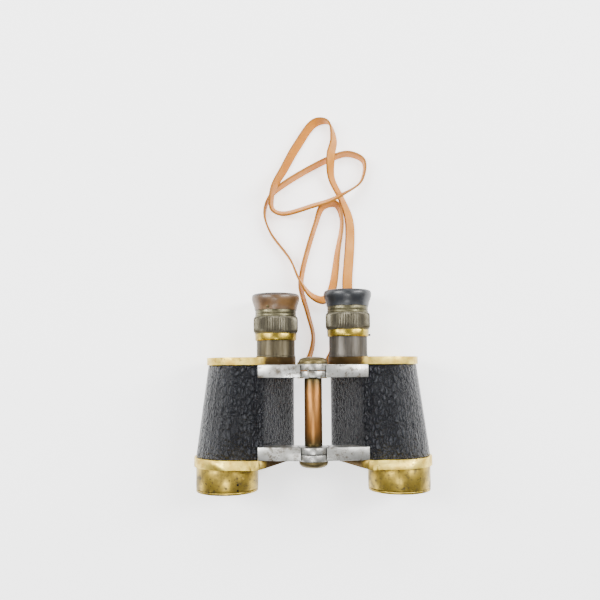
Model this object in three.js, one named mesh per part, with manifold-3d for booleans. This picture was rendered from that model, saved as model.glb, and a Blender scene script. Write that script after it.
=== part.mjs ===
// Prism binoculars, folded shut and lying on their back with the hinge uppermost, and a leather neck strap.
// Millimetres. X across the pair, Y from the objectives to the eyepieces, Z up. Z = 0 is the table.
// Everything is laid out from the middle of the castings, and the whole is then moved along Y so that the
// origin is the middle of the instrument's footprint.
import * as THREE from "three";
import { mergeVertices } from "three/addons/utils/BufferGeometryUtils.js";
import Module from "manifold-3d";

const wasm = await Module();
wasm.setup();

// ---- driving dimensions ------------------------------------------------------------------------------
const EYE_X = 23.2;            // half the eye distance with the pair folded shut
const EYE_Z = 19.5;            // height of the eyepiece axes
const OBJECTIVE_X = 53.3;      // half the distance between the objective axes
const HINGE_Z = 45.5;          // height of the centre hinge's axis
const CASTING_ROOM = 5.28;     // from the edge of a prism to the end of its casting
const CASTING_WALL = 1.6;
const WAIST = 0.852;           // the eyepiece end is this much narrower than the objective end
const LEATHER = 1;             // thickness of the leather
const LEATHER_STEP = 1.2;      // the end covers stand this far outside the leather
const GLUE = 0.2;
const FIT = 0.1;               // clearance of pieces that are screwed or pushed together
const RUNNING = 0.3;           // clearance of pieces that turn on each other
const OCULAR_PLATE = 4.6;      // thickness of the eyepiece end cover
const OBJECTIVE_PLATE = 5.6;   // thickness of the objective end cover beside the tube
const PLATE_EDGE = 2;          // thickness of the objective end cover at the hinge side
const OBJECTIVE_R = 19.2;      // outer radius of the objective tube
const OBJECTIVE_LENGTH = 15.5; // length of the objective tube with its end ring
const TUBE_WALL = 1.8;
const TUBE_MARGIN = 4.8;       // the end cover reaches this far past the objective tube, over and under it
const TUBE_OFFSET = 3.5;       // the tube's axis lies this far outside the middle of the casting's round
const END_RING = 2;            // length of the ring that ends the objective tube
const LENS_DEPTH = 5.6;        // from the end of the tube to the ring's seat on the crown lens
const AXLE_R = 2.6;
const KNUCKLE_WALL = 6.5;      // from the axle to the outside of a knuckle
const KNUCKLE = 3.9;           // length of one knuckle; two lie against each other at each end
const KNUCKLE_SETBACK = 7.8;   // from the end of a casting back to its inner knuckle
const HINGE_TUBE_WALL = 2.35;
const CAP_STEP = 0.5;          // the hinge caps are this much smaller than the knuckles
const CAP_H = 4.2;
const ARM_R = 6;               // half the height of a hinge arm at the hinge
const ARM_FOOT_R = 6.6;        // and at the casting
const PRISM_HALF_WIDTH = 7;
const SHELF = 2.4;             // thickness of the prism shelf
const CLIP = 0.5;              // thickness of a prism clip
const CLIP_WIDTH = 5;
const EYE_TUBE_R = 12.2;       // fixed eyepiece tube
const EYE_TUBE_WALL = 1.1;
const EYE_TUBE_LENGTH = 19.5;
const EYE_END_STEP = 0.5;      // the end cover reaches this far past the eyepiece tube
const BAND_WALL = 0.6;
const BAND = 4.4;              // length of the scale band
const BAND_GAP = 10.8;         // from the eyepiece end cover to the left scale band
const GRIP_STEP = 1.2;         // the knurled ring stands this far outside the band
const GRIP = 10.7;             // length of the knurled ring
const GRIP_TEETH = 24;
const GROOVE = 0.5;            // depth of its grooves
const COLLAR = 4.4;
const CUP = 10.3;              // length of the eyecup
const CUP_NECK_STEP = 0.4;     // the eyecup's neck stands this far outside the collar
const CUP_FLARE = 1.9;         // and its mouth this much further
const RIGHT_SCREWED_OUT = 2.2; // the right eyepiece stands further out than the left
const BARREL_WALL = 1;
const SCREW_R = 0.9;
const LUG = { width: 10.4, reach: 5, bar: 1.2, height: 1.8, stem: 2.2, drop: 3.5 };
const STRAP_WIDTH = 7;
const STRAP_THICKNESS = 1.4;
const STRAP_STEPS = 72;

// The strap's route from the right lug to the left one: x, y, z of its middle line and its bank in degrees,
// 0 lying flat, 90 standing on its edge, past 90 with its other face up.
const STRAP_ROUTE = [
  [7.2, 25, 13.4, 50], [10.5, 29, 5.6, 40], [15, 36, 2.4, 20], [20.5, 52, 1.4, 8],
  [24.3, 72, 1.5, 10], [24.6, 84, 1.7, 12], [26.5, 124.6, 2.7, 34], [21.2, 140.6, 3.3, 52],
  [14.6, 154.6, 5, 50], [13.9, 168.1, 10.5, 38], [16.4, 183.2, 3.9, 54], [12.9, 194.8, 3.8, 84],
  [3.8, 194.7, 3.5, 126], [-9, 177.9, 3.1, 135], [-17.7, 161.8, 4.4, 130],
  [-25.6, 143.9, 11.6, 108], [-25.5, 133.2, 4.8, 112], [-19.2, 130.5, 3.9, 122],
  [2.5, 134.6, 9.9, 122], [13.2, 137.6, 11.1, 119], [21.5, 141.6, 11.8, 110],
  [35.1, 153.1, 4.2, 97], [36.8, 166.9, 3.9, 96], [26.7, 172.1, 3.8, 102], [14.5, 169.1, 3.7, 105],
  [-18.5, 150.6, 3.7, 106], [-27.4, 142.3, 3.7, 97], [-31.2, 131.1, 3.8, 92],
  [-27.5, 118, 3.8, 91], [-14, 98.9, 4.4, 92], [-7.1, 82.8, 11.3, 98], [-0.3, 74.4, 5, 120],
  [7.4, 71.2, 2.95, 141], [12.3, 73.8, 2.85, 145], [14.7, 80.5, 3.05, 134], [18, 103, 3.65, 114],
  [21.2, 126.6, 3.7, 98], [17.3, 137, 3.56, 112], [8.6, 135.4, 3.46, 118], [3.4, 122.9, 3.6, 108],
  [-5.8, 90.3, 3.7, 110], [-6.7, 79.4, 3.6, 113], [-2.2, 61.9, 3.7, 108], [1.2, 46, 3.8, 104],
  [-1.8, 32.5, 5.9, 112], [-7.2, 25, 13.4, 130],
];

// ---- worked out from them ----------------------------------------------------------------------------
const BODY_R = OBJECTIVE_R + TUBE_MARGIN;
const BODY_X = OBJECTIVE_X - TUBE_OFFSET;
const OBJECTIVE_Z = BODY_R;

// The light goes from the objective to a middle point above both axes and on to the eyepiece, each time
// by the same distance sideways, the two at right angles: that distance sets the size of both prisms.
const objectiveAxis = new THREE.Vector2(OBJECTIVE_X, OBJECTIVE_Z);
const eyeAxis = new THREE.Vector2(EYE_X, EYE_Z);
const across = eyeAxis.clone().sub(objectiveAxis);
const middleAxis = objectiveAxis.clone().add(eyeAxis).multiplyScalar(0.5)
    .add(new THREE.Vector2(across.y, -across.x).multiplyScalar(0.5));
const PRISM_SHIFT = objectiveAxis.distanceTo(middleAxis);
const CASTING_HALF = SHELF / 2 + PRISM_SHIFT + CASTING_ROOM; // half the length of a casting along Y

const OCULAR_FACE = CASTING_HALF + OCULAR_PLATE;
const OBJECTIVE_FACE = -CASTING_HALF - OBJECTIVE_PLATE;
const OBJECTIVE_END = OBJECTIVE_FACE - OBJECTIVE_LENGTH;
const OBJECTIVE_BORE = OBJECTIVE_R - TUBE_WALL;
const LENS_R = OBJECTIVE_BORE - 4 * FIT;
const KNUCKLE_R = AXLE_R + KNUCKLE_WALL;
const HINGE_TUBE_R = AXLE_R + RUNNING + HINGE_TUBE_WALL;
const CAP_R = KNUCKLE_R - CAP_STEP;
const KNUCKLE_INNER = CASTING_HALF - KNUCKLE_SETBACK;
const KNUCKLE_SPLIT = KNUCKLE_INNER + KNUCKLE;
const KNUCKLE_OUTER = KNUCKLE_SPLIT + RUNNING;
const KNUCKLE_END = KNUCKLE_OUTER + KNUCKLE;
const EYE_END_R = EYE_TUBE_R + EYE_END_STEP;
const HEAD_BORE = EYE_TUBE_R + RUNNING;
const BAND_R = HEAD_BORE + BAND_WALL;
const GRIP_R = BAND_R + GRIP_STEP;
const CUP_NECK_R = BAND_R + CUP_NECK_STEP;
const CUP_R = CUP_NECK_R + CUP_FLARE;
const BARREL_R = EYE_TUBE_R - EYE_TUBE_WALL - RUNNING;
const FIELD_LENS_R = BARREL_R - BARREL_WALL - 2 * FIT;
const EYE_LENS_R = FIELD_LENS_R - 1.2;
const BAND_START = OCULAR_FACE + BAND_GAP;
const HEAD_LENGTH = BAND + GRIP + COLLAR + CUP;
const RIGHT_END = BAND_START + HEAD_LENGTH + RIGHT_SCREWED_OUT;
const FOOTPRINT_MIDDLE = (OBJECTIVE_END + RIGHT_END) / 2;
const HOUSING_INSET = LEATHER_STEP + LEATHER + GLUE;
const CAVITY_INSET = HOUSING_INSET + CASTING_WALL;
const LIGHT_R = PRISM_HALF_WIDTH - 0.8;

// The strap lug stands on the casting's side, a little below the eyepiece axis.
const LUG_Y = KNUCKLE_INNER + 4.3;
const LUG_Z = EYE_Z - LUG.drop;
const LUG_ROOT = EYE_X - EYE_END_R - 1;
const CASTING_SIDE = Math.sqrt((EYE_END_R - HOUSING_INSET) ** 2 - (LUG.drop - LUG.stem) ** 2);
const LUG_SEAT = EYE_X - CASTING_SIDE - RUNNING / 2;

// The casting's outline is drawn tight round the eyepiece end, a heel that it stands on, the round of the
// objective and a shoulder over the light's middle point.
// At the prisms, half way along, the outline has drawn in by half of what it does at the eyepiece end.
const DRAWN_IN = (1 + WAIST) / 2;
const SHOULDER = {
    x: EYE_X + (middleAxis.x - EYE_X) / DRAWN_IN,
    z: middleAxis.y,
    r: CAVITY_INSET + (PRISM_HALF_WIDTH + CLIP + 2 * FIT) / DRAWN_IN,
};
const HEEL = { x: EYE_X + 10.8, z: 8, r: 8 };
const ARM_FOOT = { x: SHOULDER.x - 5.5, z: SHOULDER.z + 4.7, r: ARM_FOOT_R };

// ---- finishes ----------------------------------------------------------------------------------------
function finish(color, roughness, metalness) {
    return new THREE.MeshStandardMaterial({ color, roughness, metalness });
}

const FINISHES = {
    casting: finish(0xc4c4bf, 0.35, 0.9),
    leather: finish(0x1f2022, 0.55, 0),
    brass: finish(0xc9b469, 0.4, 0.9),
    agedBrass: finish(0xa58c4c, 0.45, 0.9),
    bronze: finish(0xa8804f, 0.35, 0.9),
    darkBronze: finish(0x6f6546, 0.45, 0.9),
    wornTube: finish(0x6b6250, 0.45, 0.85),
    knurled: finish(0x77715f, 0.4, 0.9),
    brownCup: finish(0x8a6a4d, 0.4, 0),
    blackCup: finish(0x3b4047, 0.15, 0),
    steel: finish(0x8b8d8f, 0.35, 0.95),
    glass: finish(0xbfd0cc, 0.05, 0),
    strap: finish(0xd9944f, 0.6, 0),
};

// ---- shape helpers -----------------------------------------------------------------------------------
function solid(geometry) {
    const bare = geometry.clone();
    bare.deleteAttribute("normal");
    bare.deleteAttribute("uv");
    const merged = mergeVertices(bare, 1e-4);
    const vertProperties = new Float32Array(merged.attributes.position.array);
    const triVerts = new Uint32Array(merged.index.array);
    return new wasm.Manifold(new wasm.Mesh({ numProp: 3, vertProperties, triVerts }));
}

function geometryOf(manifold) {
    const mesh = manifold.getMesh();
    const geometry = new THREE.BufferGeometry();
    geometry.setAttribute("position", new THREE.BufferAttribute(mesh.vertProperties, 3));
    geometry.setIndex(new THREE.BufferAttribute(mesh.triVerts, 1));
    return geometry;
}

// A flat outline in X and Z, made solid from one place along Y to another.
function slab(shape, from, to) {
    const options = { depth: to - from, bevelEnabled: false, curveSegments: 5 };
    const geometry = new THREE.ExtrudeGeometry(shape, options);
    geometry.rotateX(Math.PI / 2);
    geometry.translate(0, to, 0);
    return geometry;
}

// A closed profile of radius and place along Y, turned about a line along Y.
function turned(profile, x = 0, z = 0, segments = 20) {
    const points = profile.map(([radius, y]) => new THREE.Vector2(radius, y));
    const geometry = new THREE.LatheGeometry(points, segments);
    geometry.translate(x, 0, z);
    return geometry;
}

function ring(outer, inner, from, to) {
    return [[inner, from], [outer, from], [outer, to], [inner, to], [inner, from]];
}

function rod(radius, from, to) {
    return [[0, from], [radius, from], [radius, to], [0, to]];
}

// The outline that a string takes when it is pulled tight round a set of rounds, given anticlockwise.
function roundedOutline(rounds, inset) {
    const shape = new THREE.Shape();
    const turnAt = (a, b) => {
        const along = Math.atan2(b.z - a.z, b.x - a.x);
        return along - Math.acos((a.r - b.r) / Math.hypot(b.x - a.x, b.z - a.z));
    };
    rounds.forEach((round, i) => {
        const before = rounds[(i + rounds.length - 1) % rounds.length];
        const after = rounds[(i + 1) % rounds.length];
        const start = turnAt(before, round);
        let end = turnAt(round, after);
        while (end < start) end += 2 * Math.PI;
        shape.absarc(round.x, round.z, round.r - inset, start, end, false);
    });
    shape.closePath();
    return shape;
}

function circle(x, z, radius) {
    return new THREE.Shape().absarc(x, z, radius, 0, 2 * Math.PI, false);
}

const BODY_ROUNDS = [
    { x: EYE_X, z: EYE_Z, r: EYE_END_R },
    HEEL,
    { x: BODY_X, z: BODY_R, r: BODY_R },
    SHOULDER,
];

// The castings narrow towards the eyepieces: everything outside the eyepiece axis draws in.
function narrow(geometry) {
    const place = geometry.attributes.position;
    for (let i = 0; i < place.count; i++) {
        const share = (place.getY(i) + CASTING_HALF) / (2 * CASTING_HALF);
        const width = 1 + (WAIST - 1) * share;
        if (place.getX(i) > EYE_X) place.setX(i, EYE_X + (place.getX(i) - EYE_X) * width);
    }
    return geometry;
}

function bodySlab(inset, from, to) {
    return solid(narrow(slab(roundedOutline(BODY_ROUNDS, inset), from, to)));
}

function armSlab(grow, from, to) {
    const rounds = [{ x: 0, z: HINGE_Z, r: ARM_R }, ARM_FOOT];
    return solid(slab(roundedOutline(rounds, -grow), from, to));
}

function hingeRod(radius, from, to) {
    return solid(turned(rod(radius, from, to), 0, HINGE_Z));
}

// ---- one barrel, modelled on the right; the left one is its mirror image ------------------------------
// holdsAxle: its knuckles are the outer ones, with the axle fixed in them.
function housing(holdsAxle) {
    const own = holdsAxle ? [KNUCKLE_OUTER, KNUCKLE_END] : [KNUCKLE_INNER, KNUCKLE_SPLIT];
    const other = holdsAxle ? [KNUCKLE_INNER, KNUCKLE_OUTER] : [KNUCKLE_SPLIT, KNUCKLE_END];
    let casting = bodySlab(HOUSING_INSET, -CASTING_HALF, CASTING_HALF);
    for (const end of [-1, 1]) {
        const span = (pair) => pair.map((y) => y * end).sort((a, b) => a - b);
        const [armFrom, armTo] = span([KNUCKLE_INNER, CASTING_HALF]);
        const [otherFrom, otherTo] = span(other);
        const [ownFrom, ownTo] = span(own);
        casting = casting
            .add(armSlab(0, armFrom, armTo))
            .subtract(hingeRod(KNUCKLE_R + 2 * RUNNING, otherFrom - RUNNING / 2, otherTo + RUNNING / 2))
            .subtract(hingeRod(KNUCKLE_R + 2 * RUNNING, ownFrom, ownTo))
            .add(hingeRod(KNUCKLE_R, ownFrom, ownTo))
            .add(armSlab(0, Math.max(armFrom, ownFrom), Math.min(armTo, ownTo)));
    }
    const bore = hingeRod(AXLE_R + RUNNING, -KNUCKLE_END - 1, KNUCKLE_END + 1);
    return geometryOf(casting.subtract(bore).subtract(cavity(0, 1)));
}

// The hollow of a casting, or the part of it that lies between two places.
function cavity(gap, overrun) {
    return bodySlab(CAVITY_INSET + gap, -CASTING_HALF - overrun, CASTING_HALF + overrun);
}

function leather() {
    let skin = bodySlab(LEATHER_STEP, -CASTING_HALF + FIT, CASTING_HALF - FIT)
        .subtract(bodySlab(LEATHER_STEP + LEATHER, -CASTING_HALF - 1, CASTING_HALF + 1));
    for (const [from, to] of [[-CASTING_HALF - 1, -KNUCKLE_INNER], [KNUCKLE_INNER, CASTING_HALF + 1]]) {
        skin = skin.subtract(armSlab(RUNNING, from - (from < 0 ? 0 : RUNNING), to + (to < 0 ? RUNNING : 0)));
    }
    return geometryOf(skin.subtract(lugStem(LUG.stem + RUNNING, EYE_X)));
}

function ocularCover() {
    const plate = bodySlab(0, CASTING_HALF, OCULAR_FACE);
    const bore = rod(EYE_TUBE_R - EYE_TUBE_WALL, CASTING_HALF - 1, OCULAR_FACE + 1);
    return geometryOf(plate.subtract(solid(turned(bore, EYE_X, EYE_Z))));
}

function objectiveCover() {
    const plate = bodySlab(0, OBJECTIVE_FACE, -CASTING_HALF);
    const bore = rod(OBJECTIVE_BORE, OBJECTIVE_FACE - 1, 1 - CASTING_HALF);
    const hole = solid(turned(bore, OBJECTIVE_X, OBJECTIVE_Z));
    // The front face slopes back to a thin edge at the hinge side.
    const slope = new THREE.Shape([
        new THREE.Vector2(0, -CASTING_HALF - PLATE_EDGE),
        new THREE.Vector2(0, OBJECTIVE_FACE - 5),
        new THREE.Vector2(OBJECTIVE_X - OBJECTIVE_R, OBJECTIVE_FACE - 5),
        new THREE.Vector2(OBJECTIVE_X - OBJECTIVE_R, OBJECTIVE_FACE),
    ]);
    const wedge = new THREE.ExtrudeGeometry(slope, { depth: 2 * BODY_R + 10, bevelEnabled: false });
    wedge.translate(0, 0, -5);
    return geometryOf(plate.subtract(hole).subtract(solid(wedge)));
}

function radialRod(radius, from, to, x, y, z, turn) {
    const geometry = new THREE.CylinderGeometry(radius, radius, to - from, 10);
    geometry.translate(0, (from + to) / 2, 0);
    geometry.rotateZ(-Math.PI / 2);
    geometry.rotateY(-turn);
    geometry.translate(x, y, z);
    return geometry;
}

const TUBE_SCREWS = [OBJECTIVE_END + 2.8, OBJECTIVE_END + 6.2];

function tubeScrew(y, turn, clearance) {
    const from = OBJECTIVE_BORE + (clearance ? -1 : 0.4);
    const to = OBJECTIVE_R + (clearance ? 1 : -0.3);
    return radialRod(SCREW_R + clearance, from, to, OBJECTIVE_X, y, OBJECTIVE_Z, turn);
}

function objectiveTube(screwTurn) {
    const end = OBJECTIVE_END + END_RING;
    const inner = OBJECTIVE_BORE;
    const seat = OBJECTIVE_END + LENS_DEPTH + 6.6;
    const profile = [
        [inner, end], [OBJECTIVE_R, end], [OBJECTIVE_R, OBJECTIVE_FACE], [LENS_R - 2, OBJECTIVE_FACE],
        [LENS_R - 2, seat], [inner, seat], [inner, end],
    ];
    let tube = solid(turned(profile, OBJECTIVE_X, OBJECTIVE_Z, 28));
    for (const y of TUBE_SCREWS) tube = tube.subtract(solid(tubeScrew(y, screwTurn, FIT)));
    return geometryOf(tube);
}

function objectiveRing() {
    const bore = LENS_R - 1.6;
    const sleeve = OBJECTIVE_BORE - 2 * FIT;
    const joint = OBJECTIVE_END + END_RING - FIT;
    const profile = [
        [bore, OBJECTIVE_END + 0.6], [OBJECTIVE_R - 0.6, OBJECTIVE_END], [OBJECTIVE_R, OBJECTIVE_END + 0.5],
        [OBJECTIVE_R, joint], [sleeve, joint], [sleeve, OBJECTIVE_END + LENS_DEPTH - FIT],
        [bore, OBJECTIVE_END + LENS_DEPTH - FIT], [bore, OBJECTIVE_END + 0.6],
    ];
    return turned(profile, OBJECTIVE_X, OBJECTIVE_Z, 28);
}

// A lens face as points from the axis out to the rim, bulging by the given depth.
function lensFace(radius, y, bulge) {
    const points = [];
    for (let i = 0; i <= 2; i++) {
        const share = i / 2;
        points.push([radius * share, y + bulge * (1 - share * share)]);
    }
    return points;
}

function lens(radius, from, fromBulge, to, toBulge, x, z) {
    const front = lensFace(radius, from, fromBulge);
    const back = lensFace(radius, to, toBulge).reverse();
    return turned([...front, ...back], x, z, 12);
}

const CROWN_EDGE = OBJECTIVE_END + LENS_DEPTH + RUNNING;
const objectiveCrown = () => lens(LENS_R, CROWN_EDGE, -1.4, CROWN_EDGE + 2.6, 1.2, OBJECTIVE_X, OBJECTIVE_Z);
const objectiveFlint = () =>
    lens(LENS_R, CROWN_EDGE + 2.9, 1.2, CROWN_EDGE + 6.1, 0.3, OBJECTIVE_X, OBJECTIVE_Z);

function prismShelf() {
    let shelf = cavity(FIT, 0).intersect(bodySlab(0, -SHELF / 2, SHELF / 2));
    for (const axis of [objectiveAxis, middleAxis, eyeAxis]) {
        shelf = shelf.subtract(solid(turned(rod(LIGHT_R, -SHELF, SHELF), axis.x, axis.y, 12)));
    }
    return geometryOf(shelf);
}

// A prism seen along Y has two round ends, one on each of the light axes that it joins; seen from the side
// it is a right-angled triangle that stands on the shelf. facing is 1 towards the eyepiece.
function prismBlock(from, to, facing, grow, halfWidth) {
    const rounds = [from, to].map((axis) => ({ x: axis.x, z: axis.y, r: PRISM_HALF_WIDTH }));
    const start = Math.min(0, facing * 2 * PRISM_SHIFT);
    const plan = solid(slab(roundedOutline(rounds, -grow), start, start + 2 * PRISM_SHIFT));
    const reach = PRISM_SHIFT + grow * Math.SQRT2;
    const side = new THREE.Shape([
        new THREE.Vector2(-reach, 0), new THREE.Vector2(reach, 0), new THREE.Vector2(0, reach),
    ]);
    const roof = new THREE.ExtrudeGeometry(side, { depth: 2 * halfWidth, bevelEnabled: false });
    roof.translate(0, 0, -halfWidth);
    if (facing < 0) roof.rotateX(Math.PI);
    const turn = Math.atan2(to.y - from.y, to.x - from.x);
    roof.rotateY(-turn);
    roof.translate((from.x + to.x) / 2, (facing * SHELF) / 2, (from.y + to.y) / 2);
    return plan.intersect(solid(roof));
}

const wide = PRISM_HALF_WIDTH + 3;
const frontPrism = () => geometryOf(prismBlock(middleAxis, eyeAxis, -1, 0, wide));
const rearPrism = () => geometryOf(prismBlock(objectiveAxis, middleAxis, 1, 0, wide));

function prismClip(from, to, facing) {
    const outer = prismBlock(from, to, facing, FIT + CLIP, CLIP_WIDTH / 2);
    return geometryOf(outer.subtract(prismBlock(from, to, facing, FIT, wide)));
}

function eyepieceTube() {
    return turned(ring(EYE_TUBE_R, EYE_TUBE_R - EYE_TUBE_WALL, OCULAR_FACE, OCULAR_FACE + EYE_TUBE_LENGTH),
        EYE_X, EYE_Z);
}

// The eyepiece head, from the scale band to the eyecup, starts at `start` along Y.
function scaleBand(start) {
    return turned(ring(BAND_R, HEAD_BORE, start, start + BAND), EYE_X, EYE_Z);
}

function gripRing(start) {
    const from = start + BAND;
    const points = [];
    for (let i = 0; i < GRIP_TEETH; i++) {
        for (const [radius, share] of [[GRIP_R, -0.25], [GRIP_R, 0.25], [GRIP_R - GROOVE, 0.5]]) {
            const turn = ((i + share) * 2 * Math.PI) / GRIP_TEETH;
            points.push(new THREE.Vector2(EYE_X + radius * Math.cos(turn), EYE_Z + radius * Math.sin(turn)));
        }
    }
    const teeth = solid(slab(new THREE.Shape(points), from, from + GRIP));
    const bore = solid(turned(rod(HEAD_BORE, from - 1, from + GRIP - 2), EYE_X, EYE_Z));
    const mouth = solid(turned(rod(BARREL_R + RUNNING, from + GRIP - 3, from + GRIP + 1), EYE_X, EYE_Z));
    return geometryOf(teeth.subtract(bore).subtract(mouth));
}

function collarRing(start) {
    const from = start + BAND + GRIP;
    return turned(ring(BAND_R, BARREL_R + RUNNING, from, from + COLLAR), EYE_X, EYE_Z);
}

function eyecup(start) {
    const from = start + BAND + GRIP + COLLAR;
    const profile = [
        [EYE_LENS_R, from], [CUP_NECK_R - 0.5, from], [CUP_NECK_R, from + 0.5],
        [CUP_NECK_R + 0.2, from + 0.6 * CUP], [CUP_R - 0.7, from + CUP - 1.8], [CUP_R, from + CUP - 0.9],
        [CUP_R - 0.6, from + CUP], [CUP_R - 2.6, from + CUP], [EYE_LENS_R + 1.6, from + 2.6],
        [EYE_LENS_R, from + 1.6], [EYE_LENS_R, from],
    ];
    return turned(profile, EYE_X, EYE_Z);
}

// The inner barrel carries both lenses and slides in the fixed tube, held by the ring above its flange.
function ocularBarrel(start) {
    const from = start - 7;
    const shoulder = start + BAND + GRIP - 2 - FIT;
    const top = start + BAND + GRIP + COLLAR - FIT;
    const bore = BARREL_R - BARREL_WALL;
    const profile = [
        [bore, from], [BARREL_R, from], [BARREL_R, shoulder - 1], [HEAD_BORE - RUNNING, shoulder - 1],
        [HEAD_BORE - RUNNING, shoulder], [BARREL_R, shoulder], [BARREL_R, top], [EYE_LENS_R + 2 * FIT, top],
        [EYE_LENS_R + 2 * FIT, top - 4], [EYE_LENS_R - 0.6, top - 4], [EYE_LENS_R - 0.6, from + 4.6],
        [bore, from + 4.6], [bore, from],
    ];
    return turned(profile, EYE_X, EYE_Z);
}

const fieldLens = (start) => lens(FIELD_LENS_R, start - 6, 0, start - 3, 1, EYE_X, EYE_Z);

function eyeLens(start) {
    const top = start + BAND + GRIP + COLLAR - FIT;
    return lens(EYE_LENS_R, top - 3.9, -0.2, top - 1.6, 1, EYE_X, EYE_Z);
}

function stopScrew(start, turn) {
    return radialRod(SCREW_R, BAND_R + 0.05, BAND_R + 1.1, EYE_X, start + SCREW_R + 0.3, EYE_Z, turn);
}

function lugStem(radius, inner) {
    const geometry = new THREE.CylinderGeometry(radius, radius, inner - LUG_ROOT, 12);
    geometry.rotateZ(Math.PI / 2);
    geometry.translate((inner + LUG_ROOT) / 2, LUG_Y, LUG_Z);
    return solid(geometry);
}

function strapLug() {
    const loop = new THREE.Shape();
    const half = LUG.width / 2;
    loop.moveTo(LUG_ROOT - LUG.reach, -half + LUG.bar);
    loop.lineTo(LUG_ROOT - LUG.reach + LUG.bar, -half);
    loop.lineTo(LUG_ROOT, -half);
    loop.lineTo(LUG_ROOT, half);
    loop.lineTo(LUG_ROOT - LUG.reach + LUG.bar, half);
    loop.lineTo(LUG_ROOT - LUG.reach, half - LUG.bar);
    loop.closePath();
    const plate = new THREE.ExtrudeGeometry(loop, { depth: LUG.height, bevelEnabled: false });
    plate.translate(0, LUG_Y, LUG_Z - LUG.height / 2);
    const stem = new THREE.CylinderGeometry(LUG.stem, LUG.stem, LUG_SEAT - LUG_ROOT + LUG.bar / 2, 12);
    stem.rotateZ(Math.PI / 2);
    stem.translate((LUG_SEAT + LUG_ROOT - LUG.bar / 2) / 2, LUG_Y, LUG_Z);
    const slot = new THREE.BoxGeometry(LUG.reach - 2 * LUG.bar, LUG.width - 2 * LUG.bar, LUG.height + 2);
    slot.translate(LUG_ROOT - LUG.reach / 2, LUG_Y, LUG_Z);
    return geometryOf(solid(plate).add(solid(stem)).subtract(solid(slot)));
}

// ---- assembly ----------------------------------------------------------------------------------------
const binoculars = new THREE.Group();
const instrument = new THREE.Group();
instrument.position.y = -FOOTPRINT_MIDDLE;
binoculars.add(instrument);

function piece(parent, name, geometry, material) {
    const mesh = new THREE.Mesh(geometry, material);
    mesh.name = name;
    parent.add(mesh);
}

const BARRELS = [
    { side: "left", mirror: -1, holdsAxle: true, out: 0, tubeScrewTurn: 2.007, stopTurn: -2.2 },
    { side: "right", mirror: 1, holdsAxle: false, out: RIGHT_SCREWED_OUT, tubeScrewTurn: -0.9, stopTurn: 0 },
];

for (const { side, mirror, holdsAxle, out, tubeScrewTurn, stopTurn } of BARRELS) {
    const barrel = new THREE.Group();
    barrel.scale.x = mirror;
    instrument.add(barrel);
    const add = (name, geometry, look) => piece(barrel, `${side}_${name}`, geometry, look);
    const start = BAND_START + out;
    add("housing", housing(holdsAxle), FINISHES.casting);
    add("leather", leather(), FINISHES.leather);
    add("ocular_cover", ocularCover(), FINISHES.brass);
    add("objective_cover", objectiveCover(), FINISHES.brass);
    add("objective_tube", objectiveTube(tubeScrewTurn), FINISHES.agedBrass);
    add("objective_ring", objectiveRing(), FINISHES.agedBrass);
    add("objective_crown", objectiveCrown(), FINISHES.glass);
    add("objective_flint", objectiveFlint(), FINISHES.glass);
    add("prism_shelf", prismShelf(), FINISHES.casting);
    add("front_prism", frontPrism(), FINISHES.glass);
    add("rear_prism", rearPrism(), FINISHES.glass);
    add("front_prism_clip", prismClip(middleAxis, eyeAxis, -1), FINISHES.steel);
    add("rear_prism_clip", prismClip(objectiveAxis, middleAxis, 1), FINISHES.steel);
    add("eyepiece_tube", eyepieceTube(), FINISHES.wornTube);
    add("scale_band", scaleBand(start), FINISHES.brass);
    add("focus_ring", gripRing(start), FINISHES.knurled);
    add("collar_ring", collarRing(start), FINISHES.wornTube);
    add("eyecup", eyecup(start), side === "left" ? FINISHES.brownCup : FINISHES.blackCup);
    add("ocular_barrel", ocularBarrel(start), FINISHES.agedBrass);
    add("field_lens", fieldLens(start), FINISHES.glass);
    add("eye_lens", eyeLens(start), FINISHES.glass);
    add("stop_screw", stopScrew(start, stopTurn), FINISHES.steel);
    add("strap_lug", strapLug(), FINISHES.agedBrass);
    TUBE_SCREWS.forEach((y, i) => {
        add(`tube_screw_${i + 1}`, tubeScrew(y, tubeScrewTurn, 0), FINISHES.steel);
    });
}

// The hinge: an axle held in the left barrel's outer knuckles, a bronze tube over it between the inner
// knuckles, and a domed cap on each end.
function hingeTube() {
    const half = KNUCKLE_INNER - RUNNING;
    return turned(ring(HINGE_TUBE_R, AXLE_R + RUNNING, -half, half), 0, HINGE_Z);
}

function hingeCap(end) {
    const from = KNUCKLE_END + FIT;
    const profile = [
        [AXLE_R + FIT, from], [CAP_R, from], [CAP_R, from + CAP_H * 0.45],
        [CAP_R * 0.88, from + CAP_H * 0.78], [CAP_R * 0.5, from + CAP_H], [0, from + CAP_H],
        [0, from + CAP_H * 0.5],
        [AXLE_R + FIT, from + CAP_H * 0.5], [AXLE_R + FIT, from],
    ];
    const geometry = turned(profile);
    if (end < 0) geometry.rotateZ(Math.PI);
    geometry.translate(0, 0, HINGE_Z);
    return geometry;
}

const axleEnd = KNUCKLE_END + CAP_H * 0.5;
piece(instrument, "hinge_axle", turned(rod(AXLE_R, -axleEnd, axleEnd), 0, HINGE_Z), FINISHES.steel);
piece(instrument, "hinge_tube", hingeTube(), FINISHES.bronze);
piece(instrument, "hinge_top_cap", hingeCap(1), FINISHES.darkBronze);
piece(instrument, "hinge_bottom_cap", hingeCap(-1), FINISHES.darkBronze);

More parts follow.
